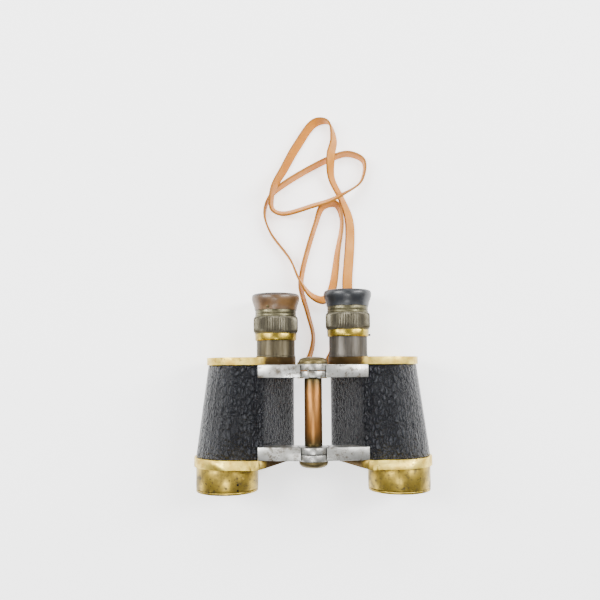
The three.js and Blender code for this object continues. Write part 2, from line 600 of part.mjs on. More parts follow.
// A curve whose frames follow the strap's bank, so that its flat section lies or stands as the route says.
class BankedRoute extends THREE.CatmullRomCurve3 {
    constructor(route) {
        super(route.map(([x, y, z]) => new THREE.Vector3(x, y, z)), false, "centripetal");
        this.banks = route.map((row) => THREE.MathUtils.degToRad(row[3]));
    }

    computeFrenetFrames(steps) {
        const frames = { tangents: [], normals: [], binormals: [] };
        for (let i = 0; i <= steps; i++) {
            const at = this.getUtoTmapping(i / steps) * (this.banks.length - 1);
            const before = Math.min(Math.floor(at), this.banks.length - 2);
            const bank = THREE.MathUtils.lerp(this.banks[before], this.banks[before + 1], at - before);
            const tangent = this.getTangentAt(i / steps);
            const level = new THREE.Vector3(0, 0, 1).cross(tangent).normalize();
            const normal = level.applyAxisAngle(tangent, bank);
            frames.tangents.push(tangent);
            frames.normals.push(normal);
            frames.binormals.push(tangent.clone().cross(normal));
        }
        return frames;
    }
}

function neckStrap() {
    const w = STRAP_WIDTH / 2;
    const t = STRAP_THICKNESS / 2;
    const round = 0.4;
    const corners = [[w - round, -t], [w, -t + round], [w, t - round], [w - round, t]];
    const section = new THREE.Shape([
        ...corners.map(([x, y]) => new THREE.Vector2(x, y)),
        ...corners.map(([x, y]) => new THREE.Vector2(-x, -y)),
    ]);
    return new THREE.ExtrudeGeometry(section, {
        steps: STRAP_STEPS, bevelEnabled: false, extrudePath: new BankedRoute(STRAP_ROUTE),
    });
}

piece(instrument, "neck_strap", neckStrap(), FINISHES.strap);

export default binoculars;
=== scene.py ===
"""Old prism binoculars lying on their back, with a tan leather neck strap.

Metres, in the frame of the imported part: X across the pair, Y towards the eyepieces, Z up from the table.
"""
import math

import bmesh
import bpy
from mathutils import Matrix, Vector


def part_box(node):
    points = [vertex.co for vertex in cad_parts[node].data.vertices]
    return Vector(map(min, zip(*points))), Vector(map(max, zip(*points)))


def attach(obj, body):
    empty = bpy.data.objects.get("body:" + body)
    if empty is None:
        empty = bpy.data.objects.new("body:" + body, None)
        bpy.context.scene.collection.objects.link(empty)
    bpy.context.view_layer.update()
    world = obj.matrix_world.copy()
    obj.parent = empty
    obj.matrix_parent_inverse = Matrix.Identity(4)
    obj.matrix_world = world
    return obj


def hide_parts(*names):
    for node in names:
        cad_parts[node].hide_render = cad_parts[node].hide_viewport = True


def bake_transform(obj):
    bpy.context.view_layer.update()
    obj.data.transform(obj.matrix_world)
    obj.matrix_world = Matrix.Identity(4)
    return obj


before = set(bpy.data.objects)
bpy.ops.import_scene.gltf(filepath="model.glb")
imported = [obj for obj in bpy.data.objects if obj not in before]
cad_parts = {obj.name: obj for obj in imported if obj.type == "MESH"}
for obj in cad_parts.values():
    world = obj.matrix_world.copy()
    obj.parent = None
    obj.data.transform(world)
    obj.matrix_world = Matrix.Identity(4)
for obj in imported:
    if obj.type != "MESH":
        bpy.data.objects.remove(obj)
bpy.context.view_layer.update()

MM = 0.001

# ---- sizes that the part's outline is drawn from ------------------------------------------------------
EYE_END_STEP = 0.5 * MM      # the end cover reaches this far past the eyepiece tube
TUBE_OFFSET = 3.5 * MM       # the objective tube lies this far outside the middle of the casting's round
HEEL = (10.8 * MM, 8 * MM)   # from the eyepiece axis to the heel's middle, and the heel's radius
SHOULDER_R = 12.3 * MM
WAIST = 0.852                # the eyepiece end is this much narrower than the objective end
LEATHER_STEP = 1.2 * MM      # the end covers stand this far outside the leather
LEATHER = 1.0 * MM
CASTING_INSET = 2.4 * MM
CASTING_WALL = 1.6 * MM
GAP = 0.3 * MM               # between pieces that turn on each other
SEAM = 0.5 * MM              # dark joint between an arm and the knuckles
RING_STEPS = 96              # facets of a turned piece


def middle(node):
    """The middle of a node's box."""
    low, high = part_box(node)
    return (Vector(low) + Vector(high)) / 2


def span(node):
    """Where a node starts and ends along Y."""
    low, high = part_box(node)
    return low[1], high[1]


def radius(node):
    """The radius of a node that is round about a line along Y."""
    low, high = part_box(node)
    return (high[2] - low[2]) / 2


EYE = middle("right_eyepiece_tube")
OBJECTIVE = middle("right_objective_tube")
HINGE = middle("hinge_tube")
EYE_END, EYE_FACE = span("right_ocular_cover")
OBJECTIVE_FACE, OBJECTIVE_END = span("right_objective_cover")
KNUCKLE_R = radius("hinge_top_cap") + 0.5 * MM


# ---- materials ----------------------------------------------------------------------------------------
def rgb(code):
    """An sRGB hex colour as linear light."""
    parts = [int(code[i:i + 2], 16) / 255 for i in (1, 3, 5)]
    return [c / 12.92 if c <= 0.04045 else ((c + 0.055) / 1.055) ** 2.4 for c in parts] + [1.0]


def add(tree, kind, inputs=None, **settings):
    """Adds a node: its settings, and a value or a link for each input."""
    node = tree.nodes.new("ShaderNode" + kind)
    for name, value in settings.items():
        setattr(node, name, value)
    for name, value in (inputs or {}).items():
        if isinstance(value, bpy.types.NodeSocket):
            tree.links.new(value, node.inputs[name])
        else:
            node.inputs[name].default_value = value
    return node


def new_material(name, **values):
    """A material with one Principled shader; the values are those that are the same all over."""
    material = bpy.data.materials.new(name)
    material.use_nodes = True
    tree = material.node_tree
    tree.nodes.clear()
    shader = add(tree, "BsdfPrincipled", {key.replace("_", " "): value for key, value in values.items()})
    add(tree, "OutputMaterial", {"Surface": shader.outputs[0]})
    place = add(tree, "TexCoord").outputs["Object"]
    return material, tree, shader, place


def noise(tree, place, size, detail=4, rough=0.55, stretch=(1, 1, 1)):
    """Soft noise whose patches are about `size` metres across, drawn out by `stretch`."""
    moved = add(tree, "Mapping", {"Vector": place, "Scale": tuple(1 / s for s in stretch)})
    inputs = {"Vector": moved.outputs[0], "Scale": 1 / size, "Detail": detail, "Roughness": rough}
    return add(tree, "TexNoise", inputs).outputs["Fac"]


def remap(tree, value, low, high, to_low=0.0, to_high=1.0):
    """A value's range from low to high, stretched to another range and cut off at its ends."""
    inputs = {"Value": value, "From Min": low, "From Max": high, "To Min": to_low, "To Max": to_high}
    return add(tree, "MapRange", inputs).outputs[0]


def blend_colour(tree, factor, first, second):
    """Two colours mixed by a factor; 6 and 7 are the colour inputs of a mix, and 2 is its colour output."""
    return add(tree, "Mix", {0: factor, 6: first, 7: second}, data_type="RGBA").outputs[2]


def relief(tree, shader, height, depth, strength=1.0):
    """Bump on the shader, `depth` metres from its lowest to its highest."""
    bump = add(tree, "Bump", {"Height": height, "Distance": depth, "Strength": strength})
    tree.links.new(bump.outputs[0], shader.inputs["Normal"])


def connect(tree, shader, **sockets):
    """Links sockets to the shader's inputs of the same names."""
    for name, socket in sockets.items():
        tree.links.new(socket, shader.inputs[name.replace("_", " ")])


def times(tree, first, second, operation="MULTIPLY"):
    """Two values multiplied, or put through another operation."""
    return add(tree, "Math", {0: first, 1: second}, operation=operation).outputs[0]


def pebbled_leather():
    """Dyed black goatskin, its grain raised in short wrinkles along the barrel and rubbed shiny on top.

    The wrinkles are drawn 2 mm wide, about twice the real grain, so that they show.
    """
    material, tree, shader, place = new_material("grained_black_leather", IOR=1.5, Specular_IOR_Level=0.3)
    warp = add(tree, "TexNoise", {"Vector": place, "Scale": 420.0, "Detail": 3.0})
    shift = add(tree, "VectorMath", {0: warp.outputs["Color"], "Scale": 2.4 * MM}, operation="SCALE")
    bent = add(tree, "VectorMath", {0: place, 1: shift.outputs[0]}, operation="ADD").outputs[0]
    drawn = add(tree, "Mapping", {"Vector": bent, "Scale": (1.0, 0.45, 1.0)}).outputs[0]
    cells = add(tree, "TexVoronoi", {"Vector": drawn, "Scale": 1 / (2.1 * MM)}, feature="DISTANCE_TO_EDGE")
    grain = remap(tree, cells.outputs["Distance"], 0.0, 0.28)
    fine = noise(tree, drawn, 1.1 * MM, detail=3)
    height = times(tree, grain, times(tree, fine, 0.7), "ADD")
    worn = noise(tree, place, 14 * MM, detail=5, stretch=(1, 2.5, 1))
    tone = blend_colour(tree, remap(tree, worn, 0.35, 0.7), rgb("#131418"), rgb("#202227"))
    colour = blend_colour(tree, remap(tree, grain, 0.0, 0.5), rgb("#0f1013"), tone)
    relief(tree, shader, height, 1.3 * MM)
    connect(tree, shader, Base_Color=colour, Roughness=remap(tree, worn, 0.3, 0.7, 0.32, 0.2))
    return material


def aged_metal(name, bright, dull, stain, patch, stain_share, rough=(0.3, 0.5), pits=0.0, draw=(1, 1, 1)):
    """A bare metal, its dull patches and its stains. The stains are oxide, so they aren't metallic.

    `patch` is how wide a dull patch is. The fine scratches are drawn coarser than real ones, so that they
    show, and `pits` is how deep the corrosion pits are.
    """
    material, tree, shader, place = new_material(name)
    patches = noise(tree, place, patch, detail=6, stretch=draw)
    spots = noise(tree, place, patch * 0.45, detail=8, rough=0.7, stretch=draw)
    base = blend_colour(tree, remap(tree, patches, 0.35, 0.65), rgb(bright), rgb(dull))
    oxide = remap(tree, spots, 1 - stain_share, 1.12 - stain_share)
    colour = blend_colour(tree, oxide, base, rgb(stain))
    connect(tree, shader, Base_Color=colour, Metallic=remap(tree, oxide, 0, 1, 0.95, 0.45),
            Roughness=remap(tree, patches, 0.3, 0.7, *rough))
    scratches = noise(tree, place, 0.35 * MM, detail=2, stretch=(1, 6, 1))
    if pits:
        holes = add(tree, "TexVoronoi", {"Vector": place, "Scale": 1 / (1.9 * MM), "Randomness": 1.0})
        pit = remap(tree, holes.outputs["Distance"], 0.08, 0.3)
        where = remap(tree, noise(tree, place, 7 * MM, detail=3), 0.54, 0.66)
        sunk = add(tree, "Mix", {0: where, 2: 1.0, 3: pit}).outputs[0]
        dark = blend_colour(tree, sunk, rgb("#52431f"), colour)
        connect(tree, shader, Base_Color=dark)
        relief(tree, shader, times(tree, sunk, times(tree, scratches, 0.15), "ADD"), pits)
    else:
        relief(tree, shader, times(tree, scratches, spots, "ADD"), 0.03 * MM, 0.6)
    return material, tree, shader, place, colour


def cover_brass():
    """Sheet and cast brass gone matt and pale, with painted shade in dark brown on the side towards the
    hinge.
    """
    material, tree, shader, place, colour = aged_metal(
        "matt_pale_brass", "#e9d068", "#b5953a", "#5c471c", 5 * MM, 0.43, rough=(0.34, 0.54),
        pits=0.05 * MM)
    across = add(tree, "SeparateXYZ", {0: place}).outputs[0]
    away = times(tree, across, 0.0, "ABSOLUTE")
    edge = times(tree, away, times(tree, noise(tree, place, 5 * MM), 16 * MM), "ADD")
    # painted shade: dark brown over the inner part of each cover, towards the hinge, where the cover lies in
    # shade
    hinge_side_painted_shade = remap(tree, edge, 36 * MM, 44 * MM, 1.0, 0.0)
    connect(tree, shader, Base_Color=blend_colour(tree, hinge_side_painted_shade, colour, rgb("#4f3e22")))
    return material


def tube_brass():
    """Turned brass tube, lacquer gone, pitted and stained green and brown."""
    return aged_metal("pitted_turned_brass", "#b3983f", "#75632a", "#352c14", 6 * MM, 0.47,
                      rough=(0.28, 0.5), pits=0.16 * MM)[0]


def band_brass():
    """Brass rubbed bright by the hand, with fine scratches."""
    return aged_metal("rubbed_brass", "#b8a142", "#735f26", "#3a3014", 4 * MM, 0.42, rough=(0.22, 0.4))[0]


def arm_alloy():
    """Cast aluminium alloy, bright where it is rubbed, with grey corrosion in patches."""
    return aged_metal("worn_cast_aluminium", "#c6c6c2", "#85847e", "#544d42", 10 * MM, 0.5,
                      rough=(0.24, 0.46), pits=0.03 * MM)[0]


def hinge_bronze():
    """Drawn bronze tube, copper-coloured and polished by use, darker olive towards its ends: partly tarnish,
    partly painted shade where the knuckles shadow it.
    """
    material, tree, shader, place, colour = aged_metal(
        "rubbed_bronze", "#a3703c", "#80552a", "#4a3218", 6 * MM, 0.4, rough=(0.32, 0.46), draw=(1, 3, 1))
    along = add(tree, "SeparateXYZ", {0: place}).outputs[1]
    off = times(tree, times(tree, along, HINGE.y, "SUBTRACT"), 0.0, "ABSOLUTE")
    # painted shade and tarnish: the tube darkens to olive towards its ends, next to the knuckles
    ends = remap(tree, off, 11 * MM, 19 * MM)
    connect(tree, shader, Base_Color=blend_colour(tree, ends, colour, rgb("#4a4028")))
    return material


def cap_bronze():
    """Dark bronze with an olive bloom, the pattern of a file still on it."""
    return aged_metal("olive_bronze", "#6b5f3f", "#4f462d", "#332c1c", 4 * MM, 0.4, rough=(0.34, 0.5))[0]


def worn_lacquer():
    """Black lacquer on brass, worn to grey-brown metal with streaks along the tube."""
    return aged_metal("worn_lacquered_brass", "#57503f", "#3d3729", "#221e16", 3.2 * MM, 0.42,
                      rough=(0.45, 0.6), draw=(1, 8, 1))[0]


def grey_lacquer():
    """The same on the right eyepiece, worn further and greyer."""
    return aged_metal("greyed_lacquered_brass", "#55514b", "#403c36", "#242220", 3.2 * MM, 0.4,
                      rough=(0.45, 0.6), draw=(1, 8, 1))[0]


def olive_ring():
    """Nickelled brass tarnished olive."""
    return aged_metal("tarnished_nickel", "#66614a", "#4c4836", "#332f20", 4 * MM, 0.4,
                      rough=(0.32, 0.48))[0]


def knurled_metal():
    """Straight knurling, filled with dark grease, the crests worn to metal."""
    material, tree, shader, _, colour = aged_metal(
        "knurled_worn_metal", "#6a6556", "#4c483b", "#2e2a20", 5 * MM, 0.42, rough=(0.36, 0.5),
        draw=(1, 3, 1))
    bend = add(tree, "NewGeometry").outputs["Pointiness"]
    groove = remap(tree, bend, 0.46, 0.53)
    connect(tree, shader, Base_Color=blend_colour(tree, groove, rgb("#2e2a22"), colour))
    return material


def composition(name, tones, rough, coat, speckle):
    """Moulded hard rubber composition."""
    material, tree, shader, place = new_material(
        name, Coat_Weight=coat, Coat_Roughness=0.08, IOR=1.55)
    clouds = noise(tree, place, 7 * MM, detail=5)
    dust = noise(tree, place, 0.7 * MM, detail=4)
    base = blend_colour(tree, remap(tree, clouds, 0.35, 0.65), rgb(tones[0]), rgb(tones[1]))
    colour = blend_colour(tree, remap(tree, dust, 0.62, 0.75, 0, speckle), base, rgb(tones[2]))
    connect(tree, shader, Base_Color=colour, Roughness=remap(tree, dust, 0.3, 0.7, *rough))
    relief(tree, shader, dust, 0.03 * MM, 0.5)
    return material, tree, shader, place, colour


def faded_composition():
    """Ebonite that light has faded to brown, nearly black on the rim."""
    material, tree, shader, place, colour = composition(
        "faded_ebonite", ("#5f431f", "#452d10", "#2b1d0c"), (0.34, 0.5), 0.15, 0.6)
    top = span("left_eyecup")[1]
    along = add(tree, "SeparateXYZ", {0: place}).outputs[1]
    rim = remap(tree, along, top - 2.2 * MM, top - 0.6 * MM)
    connect(tree, shader, Base_Color=blend_colour(tree, rim, colour, rgb("#2b2522")))
    return material


def black_composition():
    """Ebonite still black and polished."""
    return composition("polished_ebonite", ("#0d0f12", "#16191e", "#2a2e35"), (0.32, 0.46), 0.06, 0.4)[0]


def steel():
    """Turned steel with a thin film of old oil."""
    return aged_metal("oiled_steel", "#6d6c69", "#565552", "#3c342a", 3 * MM, 0.36, rough=(0.28, 0.45))[0]


def black_screw():
    """Steel screw, blued."""
    return aged_metal("blued_steel", "#1d1c1b", "#121212", "#241a10", 1 * MM, 0.4, rough=(0.4, 0.55))[0]


def optical_glass():
    """Polished crown glass, faintly green."""
    material, tree, shader, place = new_material(
        "optical_glass", Transmission_Weight=1.0, IOR=1.52, Roughness=0.02)
    film = noise(tree, place, 6 * MM, detail=2)
    connect(tree, shader, Base_Color=blend_colour(tree, film, rgb("#eef6f2"), rgb("#e2eeea")))
    return material


def blackened_alloy():
    """Cast alloy painted matt black inside against stray light."""
    material, tree, shader, place = new_material("blackened_alloy", Metallic=0.0)
    grit = noise(tree, place, 0.6 * MM, detail=5)
    connect(tree, shader, Base_Color=blend_colour(tree, grit, rgb("#101010"), rgb("#2a2a29")),
            Roughness=remap(tree, grit, 0.3, 0.7, 0.6, 0.8))
    relief(tree, shader, grit, 0.08 * MM)
    return material


def strap_leather():
    """Vegetable-tanned strap leather, honey-coloured, its cut edges dyed and darkened by handling.

    The pores are drawn 0.45 mm wide, coarser than real ones, so that they show.
    """
    material, tree, shader, place = new_material("tan_strap_leather", IOR=1.46, Specular_IOR_Level=0.35)
    strip = add(tree, "UVMap", uv_map="strip").outputs[0]
    across = add(tree, "SeparateXYZ", {0: strip}).outputs[0]
    edge = remap(tree, times(tree, times(tree, across, 0.5, "SUBTRACT"), 0.0, "ABSOLUTE"), 0.4, 0.5)
    clouds = noise(tree, place, 16 * MM, detail=5)
    pores = noise(tree, place, 0.45 * MM, detail=4, rough=0.7)
    face = blend_colour(tree, remap(tree, clouds, 0.32, 0.68), rgb("#cb8322"), rgb("#b46f12"))
    freckled = blend_colour(tree, remap(tree, pores, 0.58, 0.72, 0, 0.45), face, rgb("#7a450a"))
    colour = blend_colour(tree, edge, freckled, rgb("#8f5a12"))
    connect(tree, shader, Base_Color=colour, Roughness=remap(tree, clouds, 0.3, 0.7, 0.42, 0.6))
    relief(tree, shader, pores, 0.08 * MM, 0.7)
    return material


LEATHER_BLACK = pebbled_leather()
COVER_BRASS = cover_brass()
TUBE_BRASS = tube_brass()
BAND_BRASS = band_brass()
ALLOY = arm_alloy()
BRONZE = hinge_bronze()
CAP = cap_bronze()
LACQUER = {"left": worn_lacquer(), "right": grey_lacquer()}
OLIVE = olive_ring()
KNURL = knurled_metal()
CUP = {"left": faded_composition(), "right": black_composition()}
STEEL = steel()
SCREW = black_screw()
GLASS = optical_glass()
BLACKENED = blackened_alloy()
STRAP = strap_leather()


# ---- making pieces ------------------------------------------------------------------------------------
def soften(bm, width, segments=2, sharper_than=28):
    """Rounds every edge that turns by more than an angle."""
    limit = math.radians(sharper_than)
    edges = [e for e in bm.edges if len(e.link_faces) == 2 and e.calc_face_angle() > limit]
    bmesh.ops.bevel(bm, geom=edges, offset=width, offset_type="OFFSET", segments=segments, profile=0.5,
                    affect="EDGES", clamp_overlap=True, material=-1)


def piece(name, bm, material, body, *nodes, slot=None, mirrored=False, sharp=35):
    """Closes a bmesh into an object that rides on a body and stands for CAD nodes."""
    if mirrored:
        bmesh.ops.scale(bm, vec=(-1, 1, 1), verts=bm.verts)
    bmesh.ops.remove_doubles(bm, verts=bm.verts, dist=1e-6)
    bmesh.ops.recalc_face_normals(bm, faces=bm.faces)
    mesh = bpy.data.meshes.new(name)
    bm.to_mesh(mesh)
    bm.free()
    mesh.shade_smooth()
    mesh.set_sharp_from_angle(angle=math.radians(sharp))
    mesh.materials.append(material)
    made = bpy.data.objects.new(name, mesh)
    bpy.context.scene.collection.objects.link(made)
    if body:
        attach(made, body)
    if nodes:
        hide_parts(*nodes)
    return made


def wire(bm, points, closed=True):
    """A chain of edges through points."""
    verts = [bm.verts.new(p) for p in points]
    ends = zip(verts, verts[1:] + verts[:1]) if closed else zip(verts, verts[1:])
    return verts, [bm.edges.new(pair) for pair in ends]


def turned(profile, axis, closed=True, steps=RING_STEPS):
    """A profile of radius and place along Y, spun about a line along Y."""
    bm = bmesh.new()
    verts, edges = wire(bm, [(axis.x + r, y, axis.z) for r, y in profile], closed)
    bmesh.ops.spin(bm, geom=verts + edges, cent=(axis.x, 0, axis.z), axis=(0, 1, 0), angle=2 * math.pi,
                   steps=steps, use_merge=True)
    bmesh.ops.remove_doubles(bm, verts=bm.verts, dist=1e-6)
    return bm


def light_middle():
    """The middle light axis, above and between the two: the shoulder of the casting lies round it."""
    across = Vector((EYE.x - OBJECTIVE.x, EYE.z - OBJECTIVE.z))
    half = Vector((EYE.x + OBJECTIVE.x, EYE.z + OBJECTIVE.z)) / 2
    return half + Vector((across.y, -across.x)) / 2


def rounds():
    """The casting's outline is drawn tight round these: x, z and radius, anticlockwise."""
    over = light_middle()
    drawn_in = (1 + WAIST) / 2
    heel_out, heel_r = HEEL
    return [
        (EYE.x, EYE.z, radius("right_eyepiece_tube") + EYE_END_STEP),
        (EYE.x + heel_out, heel_r, heel_r),
        (OBJECTIVE.x - TUBE_OFFSET, OBJECTIVE.z, OBJECTIVE.z),
        (EYE.x + (over.x - EYE.x) / drawn_in, over.y, SHOULDER_R),
    ]


def outline(inset, y, arc_steps=12):
    """The outline's points at a place along Y, where it has drawn in by its share of the waist."""
    circles = rounds()
    width = 1 + (WAIST - 1) * (y - OBJECTIVE_END) / (EYE_END - OBJECTIVE_END)

    def normal(a, b):
        """The direction in which the line round two circles faces."""
        along = math.atan2(b[1] - a[1], b[0] - a[0])
        return along - math.acos((a[2] - b[2]) / math.hypot(b[0] - a[0], b[1] - a[1]))

    points = []
    for i, (x, z, r) in enumerate(circles):
        start = normal(circles[i - 1], circles[i])
        end = normal(circles[i], circles[(i + 1) % len(circles)])
        while end < start:
            end += 2 * math.pi
        for step in range(arc_steps + 1):
            turn = start + (end - start) * step / arc_steps
            px = x + (r - inset) * math.cos(turn)
            pz = z + (r - inset) * math.sin(turn)
            points.append((EYE.x + (px - EYE.x) * width if px > EYE.x else px, y, pz))
    return points


def shell(inset, wall, start, end, steps):
    """The outline drawn along Y into a tube with a wall of its own."""
    bm = bmesh.new()
    _, edges = wire(bm, outline(inset, start))
    for step in range(1, steps + 1):
        y = start + (end - start) * step / steps
        grown = bmesh.ops.extrude_edge_only(bm, edges=edges)["geom"]
        edges = [e for e in grown if isinstance(e, bmesh.types.BMEdge)]
        fresh = [v for v in grown if isinstance(v, bmesh.types.BMVert)]
        for vert, place in zip(fresh, outline(inset, y)):
            vert.co = place
    bmesh.ops.recalc_face_normals(bm, faces=bm.faces)
    bmesh.ops.solidify(bm, geom=bm.faces[:], thickness=wall)
    return bm


def plate(back, front_at, hole_r, hole_axis, hole_front):
    """An end cover: the outline from one plane to a front face, with a round hole through it."""
    bm = bmesh.new()
    rims = [wire(bm, outline(0, back))[1]]
    rims.append(wire(bm, [(x, front_at(x), z) for x, _, z in outline(0, back)])[1])
    for y in (hole_front, back):
        circle = [(hole_axis.x + hole_r * math.cos(t), y, hole_axis.z + hole_r * math.sin(t))
                  for t in (2 * math.pi * i / 64 for i in range(64))]
        rims.append(wire(bm, circle)[1])
    for first, second in zip(rims, rims[1:] + rims[:1]):
        bmesh.ops.bridge_loops(bm, edges=first + second)
    return bm


# ---- camera, light and table --------------------------------------------------------------------------
def aim(name, data, place, target):
    """Puts a light in the scene, turned towards a target."""
    made = bpy.data.objects.new(name, data)
    bpy.context.scene.collection.objects.link(made)
    made.location = place
    made.rotation_euler = (Vector(target) - Vector(place)).to_track_quat("-Z", "Y").to_euler()


def soft_light(name, place, target, size, power):
    """A white panel of light, its size in metres and its power in watts."""
    data = bpy.data.lights.new(name, "AREA")
    data.shape = "RECTANGLE"
    data.size, data.size_y = size
    data.energy = power
    aim(name, data, place, target)


CAMERA_PLACE = (-0.0072, 0.0127, 0.4309)
CAMERA_TURN = (6.08, 0.08, -0.40)    # degrees
LENS_MM = 38.4
TABLE_DROP = 0.2 * MM                # the table lies this far under the part
WORLD_LIGHT = 0.22


def studio():
    """The camera, a pale table and four soft panels of light."""
    camera_data = bpy.data.cameras.new("camera")
    camera_data.sensor_width = 36.0
    camera_data.lens = LENS_MM
    camera_data.clip_start = 0.01
    camera = bpy.data.objects.new("camera", camera_data)
    bpy.context.scene.collection.objects.link(camera)
    camera.location = CAMERA_PLACE
    camera.rotation_euler = [math.radians(turn) for turn in CAMERA_TURN]
    bpy.context.scene.camera = camera

    bm = bmesh.new()
    bmesh.ops.create_grid(bm, x_segments=2, y_segments=2, size=3.0)
    bmesh.ops.translate(bm, vec=(0, 0, -TABLE_DROP), verts=bm.verts)
    paper, tree, shader, place = new_material(
        "white_paper", Roughness=0.75, Emission_Color=rgb("#ffffff"), Emission_Strength=1.5)
    tint = noise(tree, place, 40 * MM)
    connect(tree, shader, Base_Color=blend_colour(tree, tint, rgb("#f9f9f9"), rgb("#fbfbfb")))
    mesh = bpy.data.meshes.new("table_top")
    bm.to_mesh(mesh)
    bm.free()
    mesh.materials.append(paper)
    table = bpy.data.objects.new("table_top", mesh)
    bpy.context.scene.collection.objects.link(table)

    world = bpy.data.worlds.new("studio")
    bpy.context.scene.world = world
    world.use_nodes = True
    background = world.node_tree.nodes["Background"]
    background.inputs["Color"].default_value = rgb("#f6f8fb")
    background.inputs["Strength"].default_value = WORLD_LIGHT
    soft_light("window_left", (-0.75, 0.25, 0.75), (0, 0, 0.02), (0.3, 0.8), 17.0)
    soft_light("window_right", (0.75, 0.3, 0.7), (0, 0, 0.02), (0.25, 0.8), 18.0)
    soft_light("behind_the_camera", (-0.1, -0.35, 1.1), (0, 0, 0), (0.5, 0.25), 5.0)
    soft_light("over_the_eyepieces", (0.0, 0.7, 0.6), (0, 0.05, 0.02), (0.8, 0.25), 6.0)


studio()


# ---- the strap ----------------------------------------------------------------------------------------
# Its route from the right lug to the left one, as in the part's source, in millimetres from the middle of
# the castings: x, y, z of its middle line and its bank in degrees, 0 flat, 90 on its edge.
STRAP_ROUTE = [
    (7.2, 25, 13.4, 50), (10.5, 29, 5.6, 40), (15, 36, 2.4, 20), (20.5, 52, 1.4, 8),
    (24.3, 72, 1.5, 10), (24.6, 84, 1.7, 12), (26.5, 124.6, 2.7, 34), (21.2, 140.6, 3.3, 52),
    (14.6, 154.6, 5, 50), (13.9, 168.1, 10.5, 38), (16.4, 183.2, 3.9, 54), (12.9, 194.8, 3.8, 84),
    (3.8, 194.7, 3.5, 126), (-9, 177.9, 3.1, 135), (-17.7, 161.8, 4.4, 130),
    (-25.6, 143.9, 11.6, 108), (-25.5, 133.2, 4.8, 112), (-19.2, 130.5, 3.9, 122),
    (2.5, 134.6, 9.9, 122), (13.2, 137.6, 11.1, 119), (21.5, 141.6, 11.8, 110),
    (35.1, 153.1, 4.2, 97), (36.8, 166.9, 3.9, 96), (26.7, 172.1, 3.8, 102), (14.5, 169.1, 3.7, 105),
    (-18.5, 150.6, 3.7, 106), (-27.4, 142.3, 3.7, 97), (-31.2, 131.1, 3.8, 92),
    (-27.5, 118, 3.8, 91), (-14, 98.9, 4.4, 92), (-7.1, 82.8, 11.3, 98), (-0.3, 74.4, 5, 120),
    (7.4, 71.2, 2.95, 141), (12.3, 73.8, 2.85, 145), (14.7, 80.5, 3.05, 134), (18, 103, 3.65, 114),
    (21.2, 126.6, 3.7, 98), (17.3, 137, 3.56, 112), (8.6, 135.4, 3.46, 118), (3.4, 122.9, 3.6, 108),
    (-5.8, 90.3, 3.7, 110), (-6.7, 79.4, 3.6, 113), (-2.2, 61.9, 3.7, 108), (1.2, 46, 3.8, 104),
    (-1.8, 32.5, 5.9, 112), (-7.2, 25, 13.4, 130),
]
STRAP_WIDTH = 7 * MM
STRAP_THICKNESS = 1.4 * MM
STRAP_SPACING = 1.4 * MM
STRAP_END = 48 * MM          # the length of the first run, from the right barrel's lug
LUG_BAR_R = 0.6 * MM
LOOP_HALF_X = 2.2 * MM       # half the loop's size across, and upwards, round the lug's bar
LOOP_HALF_Z = 2.4 * MM
LOOP_THICKNESS = 1.1 * MM    # skived thinner than the strap where it is folded


def strap_frames():
    """Points along the route at even spacing, each with its direction and bank: a centripetal curve."""
    rows = [(Vector((x, y, z)) * MM + Vector((0, HINGE.y, 0)), math.radians(bank))
            for x, y, z, bank in STRAP_ROUTE]
    points = [p for p, _ in rows]
    points = [2 * points[0] - points[1]] + points + [2 * points[-1] - points[-2]]
    dense = []
    for i in range(len(rows) - 1):
        p = points[i:i + 4]
        knots = [0.0]
        for a, b in zip(p, p[1:]):
            knots.append(knots[-1] + (b - a).length ** 0.5)
        for step in range(40):
            share = step / 40
            t = knots[1] + (knots[2] - knots[1]) * share
            level = p
            for order in (1, 2, 3):
                mixed = []
                for k in range(len(level) - 1):
                    if order == 1:
                        a, b = knots[k], knots[k + 1]
                    elif order == 2:
                        a, b = knots[k], knots[k + 2]
                    else:
                        a, b = knots[1], knots[2]
                    mixed.append(level[k].lerp(level[k + 1], (t - a) / (b - a)))
                level = mixed
            dense.append((level[0], rows[i][1] + (rows[i + 1][1] - rows[i][1]) * share))
    dense.append(rows[-1])
    frames = [dense[0]]
    for place, bank in dense:
        if (place - frames[-1][0]).length >= STRAP_SPACING:
            frames.append((place, bank))
    frames[-1] = dense[-1]
    return frames


def strap_strip(name, frames, start):
    """A run of the strap, its section swept along the frames; it begins `start` metres along the strap."""
    half_w, half_t, edge = STRAP_WIDTH / 2, STRAP_THICKNESS / 2, 0.35 * MM
    quarter = [(half_w - edge, -half_t), (half_w - 0.1 * MM, -half_t + 0.12 * MM), (half_w, 0),
               (half_w - 0.1 * MM, half_t - 0.12 * MM), (half_w - edge, half_t)]
    section = quarter + [(half_w * 0.5, half_t), (0, half_t), (-half_w * 0.5, half_t)]
    section += [(-x, -z) for x, z in section]
    bm = bmesh.new()
    uv = bm.loops.layers.uv.new("strip")
    across = {}
    edges = None
    for i, (place, bank) in enumerate(frames):
        ahead = frames[min(i + 1, len(frames) - 1)][0] - frames[max(i - 1, 0)][0]
        ahead.normalize()
        level = Vector((0, 0, 1)).cross(ahead).normalized()
        flat = Matrix.Rotation(bank, 3, ahead) @ level
        up = ahead.cross(flat)
        if edges is None:
            verts, edges = wire(bm, [(0, x, z) for x, z in section])
            bmesh.ops.contextual_create(bm, geom=edges)
        else:
            grown = bmesh.ops.extrude_edge_only(bm, edges=edges)["geom"]
            edges = [e for e in grown if isinstance(e, bmesh.types.BMEdge)]
            verts = [v for v in grown if isinstance(v, bmesh.types.BMVert)]
        for vert, (x, z) in zip(verts, section):
            vert.co = place + flat * x + up * z
            across[vert] = (x / STRAP_WIDTH + 0.5, start + i * STRAP_SPACING)
    bmesh.ops.contextual_create(bm, geom=edges)
    for face in bm.faces:
        for loop in face.loops:
            loop[uv].uv = across[loop.vert]
    return piece(name, bm, STRAP, None, "neck_strap", slot="strap_leather", sharp=50)


